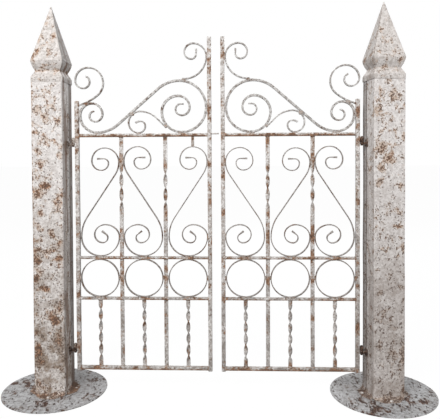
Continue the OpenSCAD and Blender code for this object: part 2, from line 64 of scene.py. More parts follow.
def addCamera(settings):
    yaw, pitch, roll = (math.radians(settings[key]) for key in ("yaw", "pitch", "roll"))
    ahead = Vector((math.sin(yaw) * math.cos(pitch), math.cos(yaw) * math.cos(pitch), -math.sin(pitch)))
    level = Vector((math.cos(yaw), -math.sin(yaw), 0))
    above = level.cross(ahead)
    right = math.cos(roll) * level + math.sin(roll) * above
    up = math.cos(roll) * above - math.sin(roll) * level
    bpy.ops.object.camera_add()
    camera = bpy.context.object
    camera.name = "viewCamera"
    turned = Matrix((right, up, -ahead)).transposed().to_4x4()
    camera.matrix_world = Matrix.Translation(settings["place"]) @ turned
    camera.data.lens = settings["lens"]
    camera.data.sensor_width = settings["sensor"]
    camera.data.shift_y = settings["shiftY"]
    bpy.context.scene.camera = camera


addCamera(view)


# One output in a material's tree, so that shader maths is written as maths
class Wire:
    def __init__(self, tree, socket=None):
        self.tree = tree
        self.socket = socket

    def node(self, kind, settings, sockets, output=0):
        made = self.tree.nodes.new("ShaderNode" + kind)
        for key, value in settings.items():
            setattr(made, key, value)
        for key, value in sockets.items():
            if isinstance(value, Wire):
                self.tree.links.new(value.socket, made.inputs[key])
            elif isinstance(value, tuple) and len(value) == 3 and made.inputs[key].type == "RGBA":
                made.inputs[key].default_value = (*value, 1)
            else:
                made.inputs[key].default_value = value
        return Wire(self.tree, made.outputs[output])

    def maths(self, operation, first, second=0.0):
        return self.node("Math", {"operation": operation}, {0: first, 1: second})

    def __add__(self, other):
        return self.maths("ADD", self, other)

    def __radd__(self, other):
        return self.maths("ADD", other, self)

    def __sub__(self, other):
        return self.maths("SUBTRACT", self, other)

    def __rsub__(self, other):
        return self.maths("SUBTRACT", other, self)

    def __mul__(self, other):
        return self.maths("MULTIPLY", self, other)

    def __rmul__(self, other):
        return self.maths("MULTIPLY", other, self)

    # 0 below low and 1 above high, or the other way round, with a smooth run between
    def step(self, low, high):
        swap = low > high
        run = self.node(
            "MapRange",
            {"interpolation_type": "SMOOTHSTEP"},
            {"Value": self, "From Min": min(low, high), "From Max": max(low, high)},
        )
        return 1 - run if swap else run

    def larger(self, other):
        return self.maths("MAXIMUM", self, other)

    # a number that the piece's own points carry
    def mark(self, name):
        return self.node("Attribute", {"attribute_name": name}, {}, "Fac")


def blendColours(share, first, second):
    settings = {"data_type": "RGBA", "clamp_factor": True}
    return share.node("Mix", settings, {0: share, 6: first, 7: second}, 2)


# The linear colour of an 8 bit screen colour
def fromScreen(red, green, blue):
    parts = (red / 255, green / 255, blue / 255)
    return tuple(c / 12.92 if c <= 0.04045 else ((c + 0.055) / 1.055) ** 2.4 for c in parts)


# Each finish is old paint over rusted iron, with 8 bit screen colours. Scales are features
# per metre. The limits are levels of noise above which paint is gone: lower ones leave more
# bare metal. Shade is a painted shade colour, and the low grime colour darkens a finish
# towards the ground as grime and painted shade. The first table holds what most finishes share.
commonFinish = {
    "runs": (150, 141, 134),
    "shade": (72, 60, 54),
    "stretch": (1.0, 1.0, 1.0),
    "ridgeWear": 0.0,
    "wash": 0.85,
    "clumping": 0.24,
    "fleckClumps": 0.34,
    "edgeRun": 0.05,
    "ragged": 0.25,
    "lowFlecks": 0.0,
    "spotWeight": 0.17,
    "spotHaze": 0.03,
    "spotFlecks": 0.0,
}
finishes = {
    "sheetPaint": commonFinish | {
        "runs": (112, 81, 58),
        "shade": (64, 47, 37),
        "pale": (238, 233, 230),
        "dull": (208, 201, 197),
        "grime": (204, 182, 164),
        "lowGrimeAndShade": (152, 139, 129),
        "rust": (194, 151, 121),
        "darkRust": (142, 104, 78),
        "fleck": (88, 72, 64),
        "scales": {"broad": 5.0, "patch": 30.0, "fleck": 125.0, "mottle": 75.0},
        "patchLimit": 0.635,
        "fleckLimit": 0.606,
        "ridgeWear": -0.10,
        "low": 0.72,
        "fleckClumps": 0.48,
        "edgeRun": 0.085,
        "ragged": 0.42,
        "lowFlecks": 0.038,
        "spotWeight": 0.25,
        "spotHaze": 0.10,
        "spotFlecks": 0.02,
        "bump": 0.8,
    },
    "barPaint": commonFinish | {
        "pale": (234, 230, 227),
        "dull": (171, 163, 157),
        "grime": (168, 146, 130),
        "lowGrimeAndShade": (120, 110, 103),
        "rust": (172, 134, 108),
        "darkRust": (112, 83, 65),
        "fleck": (100, 80, 68),
        "scales": {"broad": 6.0, "patch": 26.0, "fleck": 120.0, "mottle": 90.0},
        "patchLimit": 0.600,
        "fleckLimit": 0.605,
        "ridgeWear": 0.03,
        "low": 0.5,
        "ragged": 0.3,
        "bump": 0.8,
    },
    "stripPaint": commonFinish | {
        "pale": (214, 211, 208),
        "dull": (146, 139, 134),
        "grime": (160, 150, 143),
        "lowGrimeAndShade": (110, 101, 95),
        "rust": (146, 118, 100),
        "darkRust": (82, 65, 57),
        "fleck": (74, 61, 55),
        "scales": {"broad": 7.0, "patch": 26.0, "fleck": 130.0, "mottle": 80.0},
        "patchLimit": 0.635,
        "fleckLimit": 0.620,
        "low": 0.4,
        "bump": 0.7,
    },
    "scrollPaint": commonFinish | {
        "runs": (128, 111, 98),
        "pale": (178, 171, 166),
        "dull": (126, 117, 111),
        "grime": (134, 116, 104),
        "lowGrimeAndShade": (100, 91, 85),
        "rust": (134, 104, 85),
        "darkRust": (84, 65, 54),
        "fleck": (76, 62, 54),
        "scales": {"broad": 7.0, "patch": 26.0, "fleck": 130.0, "mottle": 80.0},
        "patchLimit": 0.610,
        "fleckLimit": 0.605,
        "low": 0.4,
        "bump": 0.7,
    },
    "platePaint": commonFinish | {
        "pale": (190, 190, 191),
        "dull": (148, 145, 144),
        "grime": (134, 124, 118),
        "lowGrimeAndShade": (120, 114, 110),
        "rust": (112, 86, 73),
        "darkRust": (76, 57, 49),
        "fleck": (62, 50, 47),
        "scales": {"broad": 7.0, "patch": 33.0, "fleck": 98.0, "mottle": 60.0},
        "stretch": (1.0, 0.5, 1.0),
        "patchLimit": 0.598,
        "fleckLimit": 0.570,
        "ridgeWear": 0.05,
        "low": 0.0,
        "clumping": 0.48,
        "edgeRun": 0.035,
        "ragged": 0.3,
        "bump": 0.8,
    },
    "bareRust": commonFinish | {
        "pale": (212, 205, 198),
        "dull": (158, 143, 131),
        "grime": (128, 102, 85),
        "lowGrimeAndShade": (96, 82, 74),
        "rust": (124, 98, 82),
        "darkRust": (62, 46, 39),
        "fleck": (50, 39, 35),
        "scales": {"broad": 12.0, "patch": 45.0, "fleck": 150.0, "mottle": 120.0},
        "patchLimit": 0.56,
        "fleckLimit": 0.58,
        "low": 0.3,
        "bump": 1.0,
    },
    "weldPaint": commonFinish | {
        "pale": (196, 188, 182),
        "dull": (158, 144, 134),
        "grime": (176, 146, 122),
        "lowGrimeAndShade": (120, 106, 96),
        "rust": (166, 126, 100),
        "darkRust": (104, 76, 60),
        "fleck": (64, 50, 44),
        "scales": {"broad": 9.0, "patch": 36.0, "fleck": 150.0, "mottle": 110.0},
        "patchLimit": 0.54,
        "fleckLimit": 0.60,
        "low": 0.3,
        "bump": 1.0,
    },
}


def startMaterial(name):
    material = bpy.data.materials.new(name)
    material.use_nodes = True
    tree = material.node_tree
    tree.nodes.clear()
    start = Wire(tree)
    place = start.node("TexCoord", {}, {}, "Object")
    return material, start, place


def endMaterial(start, shader):
    output = start.tree.nodes.new("ShaderNodeOutputMaterial")
    start.tree.links.new(shader.socket, output.inputs["Surface"])


# Detail and roughness of each layer of noise. All noise runs from 0 to 1 about 0.5.
noiseLayers = {
    "broad": (2.0, 0.5),
    "patch": (5.0, 0.6),
    "fleck": (3.0, 0.6),
    "mottle": (5.0, 0.7),
    "wash": (4.0, 0.6),
    "tone": (4.0, 0.65),
    "runs": (3.0, 0.6),
    "grain": (3.0, 0.6),
}
# What is the same in every paint. A band is the two levels that a look fades in between.
paintLook = {
    "colours": ("pale", "dull", "grime", "lowGrimeAndShade", "rust", "darkRust", "fleck", "runs", "shade"),
    "seedSteps": (1.7, 0.9, 2.3),
    "bareFade": 0.01,
    "haloWidth": 0.10,
    "haloShare": 0.75,
    "fleckFade": 0.03,
    "fleckShare": 0.85,
    "mottleBand": (0.38, 0.62),
    "lowBand": (1.35, 0.0),  # heights in metres
    "lowSway": 1.2,
    "lowShare": 0.70,
    "washLoss": 0.5,
    "washScale": 0.45,  # times the patches' scale
    "washBand": (0.42, 0.58),
    "dirtyShare": 0.3,
    "dirtyBand": (0.35, 0.6),
    "toneScale": 3.1,  # times the patches' scale
    "toneWeight": 0.5,
    "toneBand": (0.66, 0.40),
    "runScale": 27.0,
    "runStretch": (1.0, 1.0, 0.09),
    "runBand": (0.485, 0.565),
    "runHaze": 0.04,
    "grainScale": 6.0,  # times the mottling's scale
    "roughness": {"paint": 0.56, "bare": 0.30, "mottle": 0.10},
    "relief": {"paint": 0.55, "grain": 0.20, "mottle": 0.22, "rust": 0.25},
    "bumpDepth": 0.0011,
    "specular": 0.35,
}


def noise(place, scale, layer, shift, stretch=(1.0, 1.0, 1.0)):
    detail, rough = noiseLayers[layer]
    moved = place.node("Mapping", {}, {"Vector": place, "Location": shift, "Scale": stretch})
    sockets = {"Vector": moved, "Scale": scale, "Detail": detail, "Roughness": rough}
    return place.node("TexNoise", {}, sockets, "Fac")


# Worn paint over rust. The points of a piece carry marks from 0 to 1: "worn" where rust
# has come through, "ridge" on outer edges, "streaked" on sheltered walls with runs of
# dirt that also paint shade on them, and one more mark for dark seams that also carries
# painted shade on the walls and cap sides that face the leaves. A piece's own wear and
# painted shade can be added as functions of the place.
def paintOver(name, finish, seed, extraWear=None, extraShade=None):
    material, start, place = startMaterial(name)
    look = paintLook
    finish = finish | {key: fromScreen(*finish[key]) for key in look["colours"]}
    scales = finish["scales"]
    shift = tuple(seed * step for step in look["seedSteps"])
    broad = noise(place, scales["broad"], "broad", shift) - 0.5
    patch = noise(place, scales["patch"], "patch", shift, finish["stretch"])
    fleck = noise(place, scales["fleck"], "fleck", shift, finish["stretch"])
    mottle = noise(place, scales["mottle"], "mottle", shift)
    field = patch + finish["clumping"] * broad + finish["ridgeWear"] * start.mark("ridge")
    worn = start.mark("worn")
    field = field + finish["spotWeight"] * worn
    if extraWear:
        field = field + extraWear(place)
    limit = finish["patchLimit"]
    ragged = field + finish["ragged"] * (fleck - 0.5)
    bare = ragged.step(limit - look["bareFade"], limit + finish["edgeRun"])
    hazy = ragged + finish["spotHaze"] * worn
    halo = hazy.step(limit - look["haloWidth"], limit + look["bareFade"])
    height = place.node("SeparateXYZ", {}, {0: place}, "Z")
    lowness = (height + look["lowSway"] * broad).step(*look["lowBand"])
    flecked = fleck + finish["fleckClumps"] * (field - 0.5) + finish["lowFlecks"] * lowness
    flecked = flecked + finish["spotFlecks"] * worn
    flecks = flecked.step(finish["fleckLimit"], finish["fleckLimit"] + look["fleckFade"])

    paint = blendColours(mottle.step(*look["mottleBand"]), finish["dull"], finish["pale"])
    paint = blendColours(halo * look["haloShare"], paint, finish["grime"])
    wash = noise(place, scales["patch"] * look["washScale"], "wash", shift)
    # Darker towards the ground: grime, and painted shade for the light that falls off lower down
    low = lowness * (
        look["lowShare"]
        - look["washLoss"] * finish["wash"]
        + finish["wash"] * wash.step(*look["washBand"])
        + look["dirtyShare"] * (1 - mottle.step(*look["dirtyBand"]))
    )
    paint = blendColours(low * finish["low"], paint, finish["lowGrimeAndShade"])
    tone = noise(place, scales["patch"] * look["toneScale"], "tone", shift)
    depth = (tone + look["toneWeight"] * (field - limit)).step(*look["toneBand"])
    rust = blendColours(depth, finish["darkRust"], finish["rust"])
    colour = blendColours(bare, paint, rust)
    colour = blendColours(flecks * look["fleckShare"], colour, finish["fleck"])
    # Runs of dirt on sheltered walls, set strong enough to also paint the shade on those walls
    runs = noise(place, look["runScale"], "runs", shift, look["runStretch"])
    haze = look["runHaze"]
    dirtAndShade = start.mark("streaked") * (haze + (1 - haze) * runs.step(*look["runBand"]))
    colour = blendColours(dirtAndShade, colour, finish["runs"])
    # A dark seam, and painted shade on the walls and cap sides that face the leaves
    colour = blendColours(start.mark("seam"), colour, finish["shade"])
    if extraShade:
        colour = blendColours(extraShade(place), colour, finish["shade"])

    gone = bare.larger(flecks)
    matt = look["roughness"]
    roughness = matt["paint"] + matt["bare"] * gone + matt["mottle"] * (mottle - 0.5)
    grain = noise(place, scales["mottle"] * look["grainScale"], "grain", shift)
    rise = look["relief"]
    relief = (1 - gone) * rise["paint"] + grain * rise["grain"] + mottle * rise["mottle"]
    relief = relief + tone * gone * rise["rust"]
    bump = {"Strength": finish["bump"], "Distance": look["bumpDepth"], "Height": relief}
    sockets = {
        "Base Color": colour,
        "Roughness": roughness,
        "Normal": start.node("Bump", {}, bump),
        "Specular IOR Level": look["specular"],
    }
    endMaterial(start, start.node("BsdfPrincipled", {}, sockets))
    return material


# Floor, backdrop and lights
studio = {
    "floorSize": 80.0,
    "floorColour": (0.25, 0.25, 0.25),
    "floorGlow": 0.86,  # share of the floor's own white, seen only by the camera
    "glowStrength": 1.13,
    "surround": (0.96, 0.98, 1.0),
    "surroundStrength": 0.33,
}
lamps = {
    "keyLamp": {"place": (-2.4, -5.2, 4.6), "aim": (0.0, 0.0, 1.2), "size": 2.2, "power": 346.0},
    "fillLamp": {"place": (3.8, -3.6, 3.0), "aim": (0.2, 0.0, 1.0), "size": 2.0, "power": 58.0},
    "backLamp": {"place": (0.4, 5.0, 3.4), "aim": (0.0, 0.0, 1.0), "size": 2.5, "power": 85.0},
}


def seenDirectly(start):
    rays = start.node("LightPath", {}, {}, "Is Camera Ray")
    glossy = start.node("LightPath", {}, {}, "Is Glossy Ray")
    through = start.node("LightPath", {}, {}, "Is Transmission Ray")
    return rays.larger(glossy).larger(through)


def addStudio(settings, lampSettings):
    bpy.ops.mesh.primitive_plane_add(size=settings["floorSize"], location=(0, 0, 0))
    floor = bpy.context.object
    floor.name = "studioFloor"
    material, start, place = startMaterial("studioFloorWhite")
    matt = start.node("BsdfDiffuse", {}, {"Color": settings["floorColour"]})
    glow = start.node("Emission", {}, {"Color": (1.0, 1.0, 1.0), "Strength": settings["glowStrength"]})
    share = seenDirectly(start) * settings["floorGlow"]
    endMaterial(start, start.node("MixShader", {}, {0: share, 1: matt, 2: glow}))
    floor.data.materials.append(material)

    world = bpy.data.worlds.new("studioSurround")
    bpy.context.scene.world = world
    world.use_nodes = True
    world.node_tree.nodes.clear()
    start = Wire(world.node_tree)
    soft = {"Color": settings["surround"], "Strength": settings["surroundStrength"]}
    soft = start.node("Background", {}, soft)
    white = start.node("Background", {}, {"Color": (1.0, 1.0, 1.0), "Strength": 1.0})
    mixed = start.node("MixShader", {}, {0: seenDirectly(start), 1: soft, 2: white})
    output = world.node_tree.nodes.new("ShaderNodeOutputWorld")
    world.node_tree.links.new(mixed.socket, output.inputs["Surface"])

    for name, lamp in lampSettings.items():
        bpy.ops.object.light_add(type="AREA", location=lamp["place"])
        light = bpy.context.object
        light.name = name
        light.data.size = lamp["size"]
        light.data.energy = lamp["power"]
        toAim = Vector(lamp["aim"]) - Vector(lamp["place"])
        light.rotation_euler = toAim.to_track_quat("-Z", "Y").to_euler()


addStudio(studio, lamps)
bpy.context.scene.view_settings.view_transform = "Standard"
print("stage: studio ready")

# Which body and material slot each of the gate's own nodes has
bodyOf = {}
for bodyName, members in frame["record"]["behaviour"]["bodies"].items():
    for member in members:
        bodyOf[member] = bodyName


def camel(name):
    words = name.split("_")
    return words[0] + "".join(word.capitalize() for word in words[1:])


def activate(piece):
    bpy.ops.object.select_all(action="DESELECT")
    piece.select_set(True)
    bpy.context.view_layer.objects.active = piece


def applyModifier(piece, kind, **settings):
    modifier = piece.modifiers.new(kind.lower(), kind)
    for key, value in settings.items():
        setattr(modifier, key, value)
    activate(piece)
    bpy.ops.object.modifier_apply(modifier=modifier.name)


def stopEditing():
    bpy.ops.object.mode_set(mode="OBJECT")


def editAll(piece):
    activate(piece)
    bpy.ops.object.mode_set(mode="EDIT")
    bpy.ops.mesh.select_all(action="SELECT")


meshSettings = {
    "nodeDoubles": 0.00001,  # points of a node nearer than this become one
    "nodeFlat": 0.5,  # degrees, faces that turn less than this become one
    "cutDoubles": 0.00002,
}


def mergeDoubles(piece):
    editAll(piece)
    bpy.ops.mesh.remove_doubles(threshold=meshSettings["cutDoubles"])
    stopEditing()


def copyNode(nodeName):
    piece = frame["nodes"][nodeName].copy()
    piece.data = piece.data.copy()
    piece.name = camel(nodeName)
    piece.parent = None
    for key in [key for key in piece.keys() if key.startswith("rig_")]:
        del piece[key]
    bpy.context.scene.collection.objects.link(piece)
    activate(piece)
    bpy.ops.mesh.customdata_custom_splitnormals_clear()
    editAll(piece)
    bpy.ops.mesh.remove_doubles(threshold=meshSettings["nodeDoubles"])
    bpy.ops.mesh.dissolve_limited(angle_limit=math.radians(meshSettings["nodeFlat"]))
    stopEditing()
    return piece


# Handmade bars and sheet are never quite straight: every piece follows the same slow
# drift, so that what touches still touches.
drift = {"sizes": {"X": 0.30, "Y": 0.39}, "strength": 0.0022}


def cloudTexture(name, size):
    cloud = bpy.data.textures.get(name) or bpy.data.textures.new(name, "CLOUDS")
    cloud.noise_scale = size
    return cloud


def displace(piece, cloud, strength, direction="NORMAL"):
    applyModifier(
        piece,
        "DISPLACE",
        texture=cloud,
        direction=direction,
        strength=strength,
        mid_level=0.5,
        texture_coords="LOCAL",
    )


def addDrift(piece, share=1.0):
    for axis, size in drift["sizes"].items():
        cloud = cloudTexture("drift" + axis, size)
        cloud.noise_depth = 1
        displace(piece, cloud, drift["strength"] * share, axis)


# Cuts all the way through a piece, on planes of one direction.
def cutAcross(piece, normal, places):
    editAll(piece)
    for place in places:
        bpy.ops.mesh.select_all(action="SELECT")
        bpy.ops.mesh.bisect(plane_co=tuple(place), plane_no=tuple(normal))
    stopEditing()


def cornersOf(piece):
    return Vector(piece.bound_box[0]), Vector(piece.bound_box[6])


def cutEvenly(piece, axis, spacing):
    low, high = cornersOf(piece)
    length = high[axis] - low[axis]
    count = int(length / spacing)
    normal = Vector((0, 0, 0))
    normal[axis] = 1
    cutAcross(piece, normal, [low + normal * length * step / count for step in range(1, count)])
    mergeDoubles(piece)


# Cuts next to a bar's four long edges, which keep the wear on an edge off its flats.
def cutBesideEdges(piece, along, inset):
    low, high = cornersOf(piece)
    for axis in range(3):
        if axis != along:
            normal = Vector((0, 0, 0))
            normal[axis] = 1
            cutAcross(piece, normal, [low + normal * inset, high - normal * inset])


def setMark(piece, name, strengths):
    made = piece.data.attributes.get(name) or piece.data.attributes.new(name, "FLOAT", "POINT")
    made.data.foreach_set("value", strengths)


# The ridge mark is 1 at points on outer edges and 0 on flats and in corners. It starts at
# the least turn between two faces, in degrees.
def markRidges(piece, fullTurn, leastTurn=8):
    mesh = piece.data
    around = {}
    for face in mesh.polygons:
        for key in face.edge_keys:
            around.setdefault(key, []).append(face)
    strengths = [0.0] * len(mesh.vertices)
    for key, faces in around.items():
        if len(faces) == 2:
            first, second = faces
            turn = math.degrees(first.normal.angle(second.normal, 0.0))
            if turn > leastTurn and (second.center - first.center).dot(first.normal) < 0:
                for index in key:
                    strengths[index] = max(strengths[index], min(1.0, turn / fullTurn))
    setMark(piece, "ridge", strengths)


# The worn mark falls from full at each spot's middle to 0 at its reach.
def markWorn(piece, spots):
    strengths = []
    for point in piece.data.vertices:
        worst = 0.0
        for middle, reach, strength in spots:
            away = point.co - middle
            distance = math.sqrt(sum((away[axis] / reach[axis]) ** 2 for axis in range(3)))
            if distance < 1:
                worst = max(worst, strength * (1 - distance) * min(1.0, 2 - distance))
        strengths.append(worst)
    setMark(piece, "worn", strengths)


def smooth(piece, angle=35):
    activate(piece)
    bpy.ops.object.shade_smooth_by_angle(angle=math.radians(angle))


def finishPiece(piece, nodeName, material, smoothAngle=35):
    smooth(piece, smoothAngle)
    piece.data.materials.clear()
    piece.data.materials.append(material)
    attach(piece, bodyOf[nodeName])
    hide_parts(nodeName)


# The edges entry of a piece's settings: radius, segments, and the least turn in degrees
def roundEdges(piece, settings):
    radius, segments, angle = settings["edges"]
    applyModifier(
        piece,
        "BEVEL",
        width=radius,
        segments=segments,
        limit_method="ANGLE",
        angle_limit=math.radians(angle),
        use_clamp_overlap=True,
        harden_normals=False,
    )
    mergeDoubles(piece)


def selectNone(piece, kind):
    activate(piece)
    bpy.ops.object.mode_set(mode="EDIT")
    bpy.ops.mesh.select_mode(type=kind)
    bpy.ops.mesh.select_all(action="DESELECT")
    stopEditing()


def selectEdges(piece, wanted):
    selectNone(piece, "EDGE")
    found = 0
    points = piece.data.vertices
    for edge in piece.data.edges:
        first, second = (points[index].co for index in edge.vertices)
        edge.select = wanted(first, second)
        found += edge.select
    bpy.ops.object.mode_set(mode="EDIT")
    return found


skirtSettings = {"footBand": 0.001, "overlap": 0.001}  # the overlap is past the shaft


# A post's middle, turn and half its width, from its cap's lowest corners. A corner of a
# post without a turn stands at 45 degrees.
def postFacts(side):
    low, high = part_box(side + "_post_cap")
    centre = (low + high) / 2
    points = [point.co for point in frame["nodes"][side + "_post_cap"].data.vertices]
    skirt = [place for place in points if place.z < low.z + skirtSettings["footBand"]]
    corner = max(skirt, key=lambda place: math.hypot(place.x - centre.x, place.y - centre.y))
    away = Vector((corner.x - centre.x, corner.y - centre.y, 0))
    turn = math.degrees(math.atan2(away.y, away.x)) % 90 - 45
    return {
        "centre": Vector((centre.x, centre.y, 0)),
        "turn": math.radians(turn),
        "half": away.length / math.sqrt(2) - skirtSettings["overlap"],
        "inward": 1 if side == "left" else -1,  # towards the leaves
    }


def turned(place, angle):
    return Vector((
        place.x * math.cos(angle) - place.y * math.sin(angle),
        place.y * math.cos(angle) + place.x * math.sin(angle),
        place.z,
    ))


def toPost(place, post):
    return turned(place - post["centre"], -post["turn"])


def fromPost(place, post):
    return post["centre"] + turned(place, post["turn"])


fourSides = ((1, 0), (-1, 0), (0, 1), (0, -1))


# Places on all four sides of a post
def onFourSides(out, height, post):
    return [fromPost(Vector((x * out, y * out, height)), post) for x, y in fourSides]


# The spots of a list, on a plane in front of the post's middle
def spotsInFront(spots, away, depth, post):
    placed = []
    for *sizes, strength in spots:
        across, height, reachAcross, reachUp = (size / 1000 for size in sizes)
        middle = fromPost(Vector((across, -away, height)), post)
        placed.append((middle, (reachAcross, depth, reachUp), strength))
    return placed


# Cuts in line with both pairs of walls
def cutAlongWalls(piece, post, unit, places):
    for direction in ((1, 0), (0, 1)):
        normal = turned(Vector((*direction, 0)), post["turn"])
        cutAcross(piece, normal, [post["centre"] + normal * unit * place for place in places])


def placedCopy(model, matrix):
    piece = model.copy()
    piece.data = model.data.copy()
    bpy.context.scene.collection.objects.link(piece)
    piece.data.transform(matrix)
    return piece


def joinPieces(pieces, name):
    bpy.ops.object.select_all(action="DESELECT")
    for piece in pieces:
        piece.select_set(True)
    bpy.context.view_layer.objects.active = pieces[0]
    bpy.ops.object.join()
    pieces[0].name = name
    return pieces[0]


finishSeed = {"left": 1.0, "right": 4.0}
shaftSettings = {
    "foldRadius": 0.0035,
    "foldSegments": 4,
    "foldLength": 1.0,  # the upright folds are the only edges longer than this
    "foldInset": 0.0015,
    "edges": (0.0007, 1, 40),
    "rowSpacing": 0.012,
    "columnSpacing": 0.013,
    "besideFold": 0.008,
    "beforeSeam": 0.003,
    "afterSeam": 0.005,
    "pastWall": 0.02,
    "lapShare": 0.62,  # of the shaft's depth, from the front
    "ridgeTurn": 30,
    "driftShare": 1.4,
}
# How far in from a shaft's faces or seam its marks reach
shaftBands = {
    "inner": 0.0045,
    "outer": 0.004,
    "front": 0.006,
    "frontFold": 0.009,
    "back": 0.001,
    "beforeSeam": 0.0005,
    "afterSeam": 0.001,
    "spotDepth": 0.05,
}
tabSettings = {"fromWall": 0.026, "height": 0.008, "reach": (0.15, 0.15, 0.016), "wear": 1.3}
shaftTones = {
    "left": {"lowGrimeAndShade": (139, 121, 105)},
    "right": {
        "lowGrimeAndShade": (150, 137, 128),
        "grime": (194, 167, 144),
        "spotWeight": 0.12,
        "spotHaze": 0.24,
        "spotFlecks": 0.07,
        "fleckClumps": 0.60,
        "wash": 0.35,
    },
}
# Runs of dirt on the wall that faces the leaves, and painted shade on it. Behind its seam
# it is painted darker, at the ground and higher up, and beside its front fold it can be
# painted darker too.
innerWallDirtAndShade = {
    "left": {"streaks": 0.8, "seamWidth": 0.006, "low": 0.46, "high": 0.28, "besideFold": 0.25},
    "right": {"streaks": 0.22, "seamWidth": 0.009, "low": 0.30, "high": 0.42, "besideFold": 0.0},
}
upperShadeHeight = 1.5  # height from which the higher value holds
farEdgeShade = 0.22  # added behind the seam, up to the back fold
backStreaks = 0.25  # on a post's back wall
outerFoldWear = {"left": 0.55, "right": 0.2}  # along the fold away from the leaves
# Spots of rust on a post's front: across from its middle, height, reach across and reach
# up in millimetres, and strength.
frontSpots = {
    "left": [
        (-50, 1425, 28, 28, 0.9), (-22, 1395, 32, 36, 1.0), (30, 1440, 30, 38, 0.7),
        (64, 1370, 26, 36, 0.8), (-72, 1350, 16, 24, 0.7), (-55, 1320, 26, 22, 0.7),
        (-10, 1284, 26, 32, 0.9), (-6, 1250, 26, 20, 0.8), (-53, 1222, 30, 28, 1.0),
        (42, 1265, 18, 16, 0.9), (62, 1200, 24, 28, 0.8), (-28, 1160, 28, 34, 0.8),
        (-12, 1050, 34, 26, 1.0), (-50, 1012, 46, 32, 1.2), (-40, 915, 26, 26, 0.9),
        (60, 985, 40, 60, 0.5), (42, 955, 20, 18, 0.9), (-45, 848, 26, 30, 0.9), (10, 808, 30, 36, 0.9),
        (-35, 770, 22, 30, 0.9), (-30, 728, 55, 18, 0.9), (30, 732, 40, 18, 0.7),
        (48, 762, 22, 34, 0.9), (-60, 700, 34, 52, 1.2), (55, 690, 26, 26, 0.8),
        (-58, 588, 26, 38, 1.1), (-28, 538, 36, 28, 1.2), (30, 385, 42, 44, 1.0),
        (42, 430, 32, 46, 0.7), (-64, 325, 26, 28, 0.9), (50, 320, 34, 34, 0.8), (45, 272, 80, 36, 0.6),
        (-60, 245, 36, 50, 1.3), (-56, 185, 40, 64, 1.3), (-60, 60, 28, 66, 1.1),
        (40, 150, 34, 28, 0.7),
    ],
    "right": [
        (30, 1485, 36, 36, 0.6), (-10, 1570, 66, 32, 0.4), (62, 1575, 32, 22, 0.5),
        (-40, 1390, 50, 34, 0.5), (-72, 1420, 30, 32, 0.6), (-45, 1240, 64, 32, 0.6),
        (10, 1245, 80, 22, 0.3), (-10, 1180, 34, 26, 0.5), (-38, 1130, 22, 28, 0.6),
        (-50, 1060, 42, 42, 0.6), (45, 1040, 40, 34, 0.4), (72, 1290, 18, 66, 0.4),
        (-15, 925, 42, 26, 0.6), (20, 925, 34, 22, 0.5), (-50, 850, 34, 28, 0.4),
        (68, 745, 16, 56, 0.5), (-48, 640, 30, 48, 0.4), (-10, 600, 22, 24, 0.5),
        (-48, 520, 24, 48, 0.4), (70, 480, 18, 90, 0.3), (-34, 430, 28, 28, 0.5),
        (-30, 380, 34, 32, 0.5), (25, 340, 34, 28, 0.6), (-45, 270, 26, 32, 0.5),
        (40, 225, 48, 36, 0.7), (68, 200, 26, 80, 0.7), (-30, 180, 48, 22, 0.5), (70, 30, 30, 50, 0.6),
    ],
}


# Runs of dirt, and the dark seam with painted shade, on a shaft at a place given from the post's middle
def streakedAt(place, inner, half, tones):
    if inner and place.y > shaftBands["front"] - half:
        return tones["streaks"]
    return backStreaks if place.y > half - shaftBands["back"] else 0.0


def seamAndShadeAt(place, inner, half, lap, seamEnd, tones):
    if not inner:
        return 0.0
    # Painted shade beside the front fold, none up to the seam, the dark seam, and painted shade behind
    # it that grows towards the back fold
    if place.y < shaftBands["frontFold"] - half:
        return tones["besideFold"]
    if place.y < lap - shaftBands["beforeSeam"]:
        return 0.0
    if place.y < seamEnd + shaftBands["afterSeam"]:
        return 1.0
    shade = tones["low"] + (tones["high"] - tones["low"]) * min(1.0, place.z / upperShadeHeight)
    return shade + farEdgeShade * (place.y - seamEnd) / (half - seamEnd)


